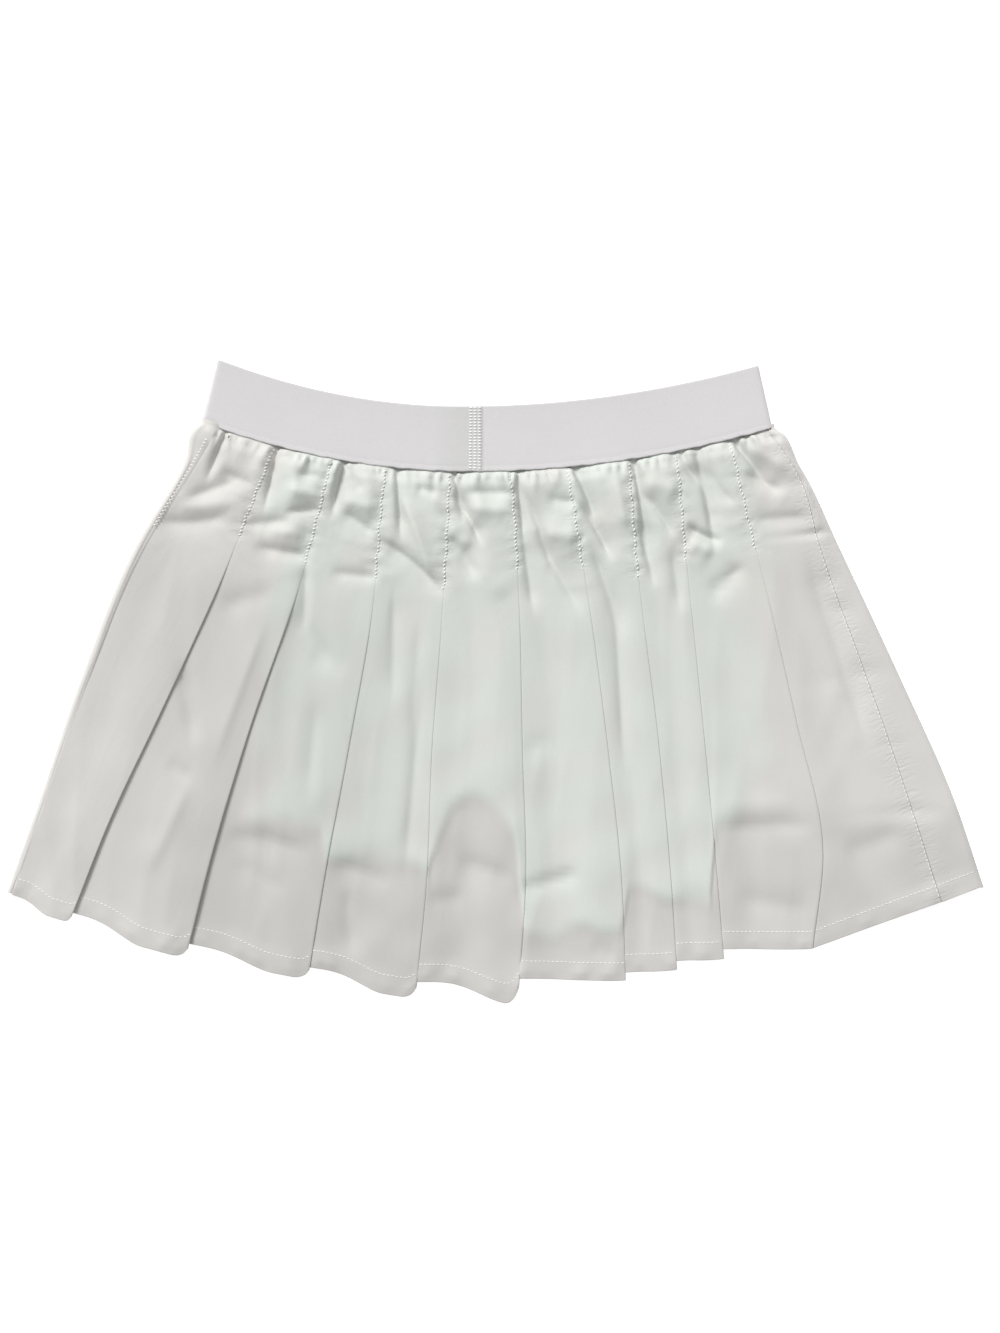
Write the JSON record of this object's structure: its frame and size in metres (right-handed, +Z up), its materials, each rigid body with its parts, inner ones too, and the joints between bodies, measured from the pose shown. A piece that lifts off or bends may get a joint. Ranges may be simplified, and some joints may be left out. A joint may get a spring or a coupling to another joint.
{
  "type": "tennis skirt laid flat",
  "caption": "Short knife-pleated tennis skirt in thin woven cloth with a wide elastic waistband, laid flat on its front with the back upwards.",
  "frame": {"origin": "centre of the bounding box on the surface the skirt lies on", "axes": "+X along the hem, the way the pleats on top point; +Y from the hem towards the waist; +Z up from the surface"},
  "size_m": [0.5844, 0.382, 0.0154],
  "materials": {
    "elastic": "matt knitted elastic with fine ribs along its length and a smooth woven edge",
    "woven_cloth": "fine plain-weave sports cloth, slightly translucent, with a soft sheen and light creases"
  },
  "bodies": {
    "root": {"waistband": "elastic", "back_panel": "woven_cloth", "front_panel": "woven_cloth"}
  },
  "joints": []
}
